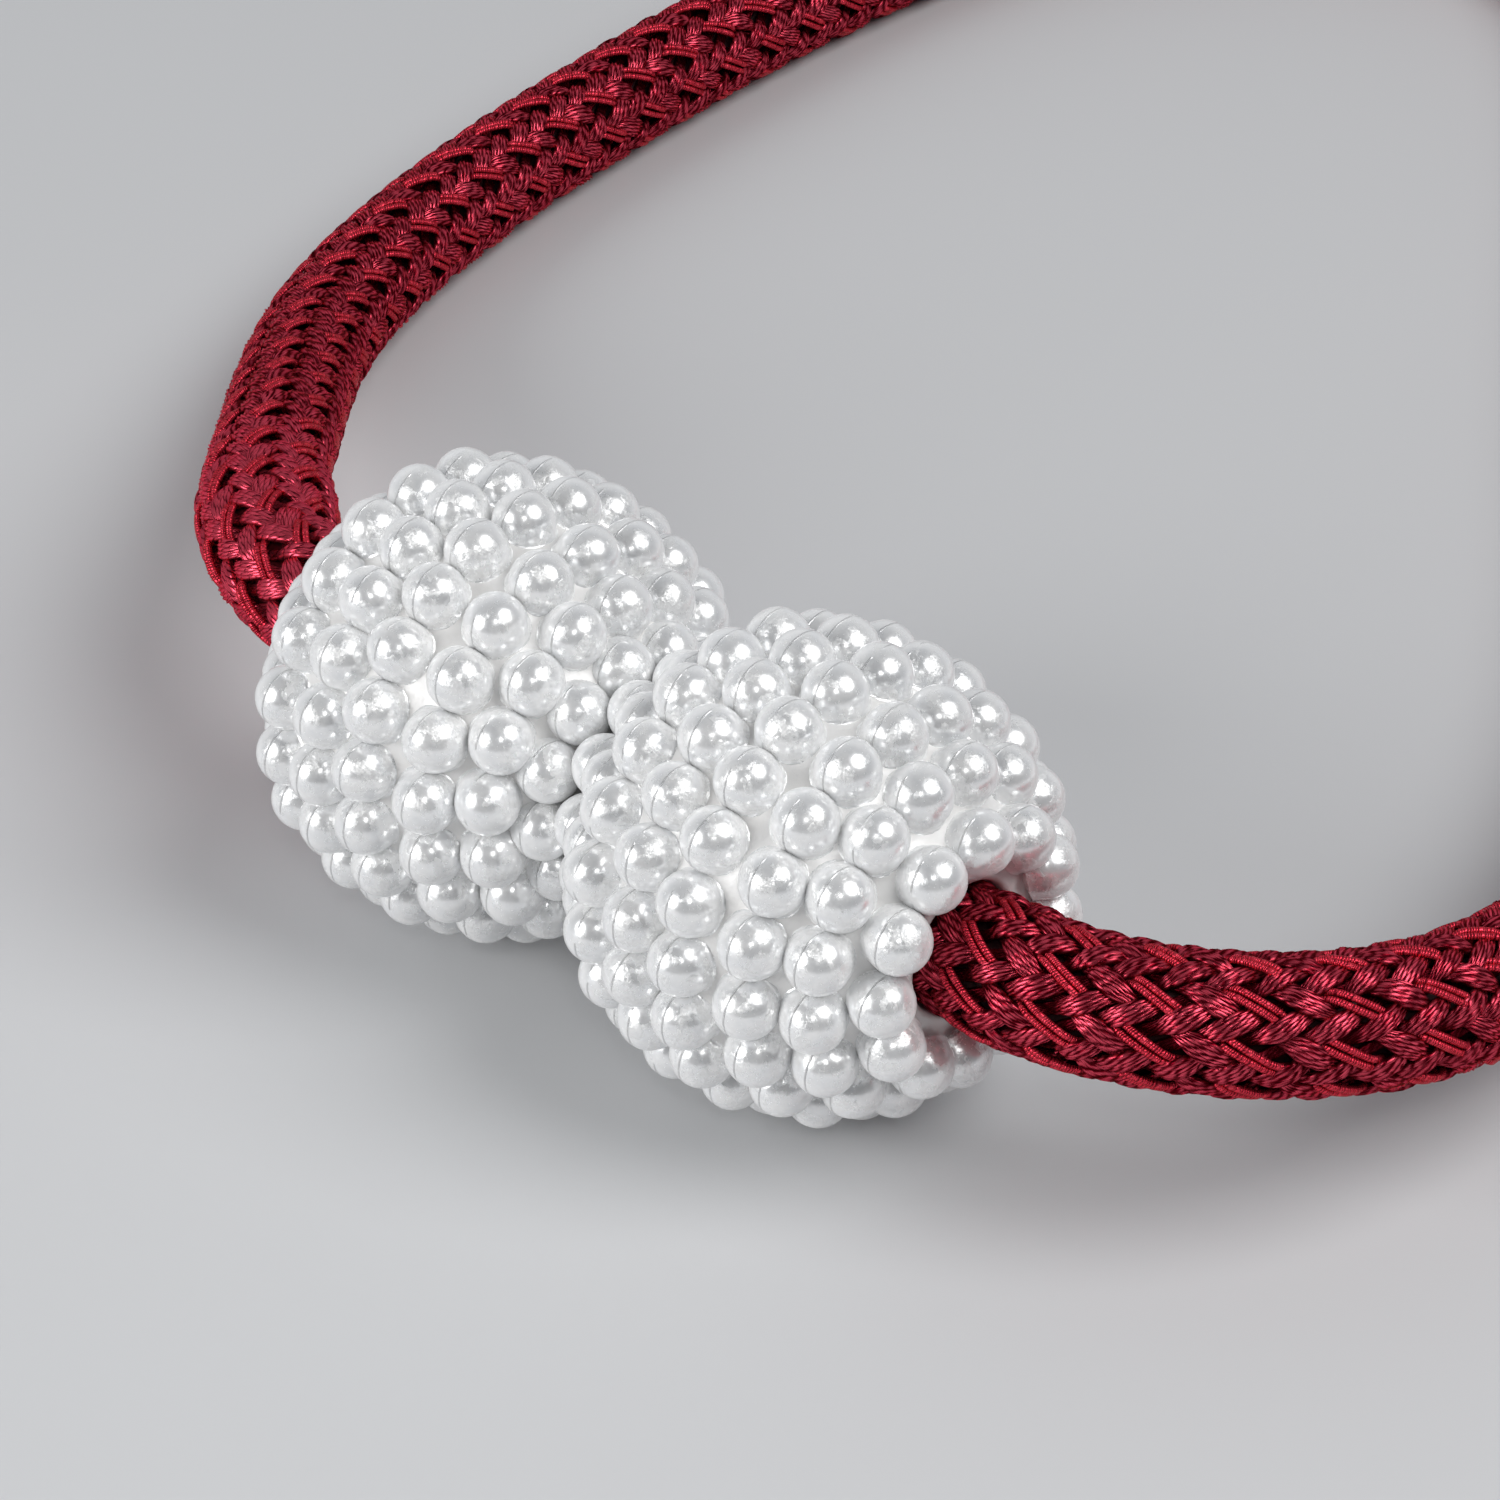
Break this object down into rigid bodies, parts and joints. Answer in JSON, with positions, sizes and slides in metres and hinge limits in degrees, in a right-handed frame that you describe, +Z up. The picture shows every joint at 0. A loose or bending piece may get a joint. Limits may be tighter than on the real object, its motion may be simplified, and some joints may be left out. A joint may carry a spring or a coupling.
{
  "type": "magnetic curtain tieback",
  "caption": "Curtain tieback: a braided cord loop whose pearl-beaded ball ends snap together by magnets to hold a gathered curtain.",
  "frame": {"origin": "on the resting surface, midway between the two balls, below the axis they share", "axes": "+X along the line through the balls, from the left one to the right one; +Y towards the loop of cord behind them; +Z up"},
  "size_m": [0.1716, 0.2131, 0.0379],
  "materials": {
    "pearl_beads": "pearlescent white moulded beads",
    "crimson_braid": "silky braided wine-red cord"
  },
  "bodies": {
    "root": {"ball_left": "pearl_beads", "ball_right": "pearl_beads", "cord": "crimson_braid"}
  },
  "joints": []
}
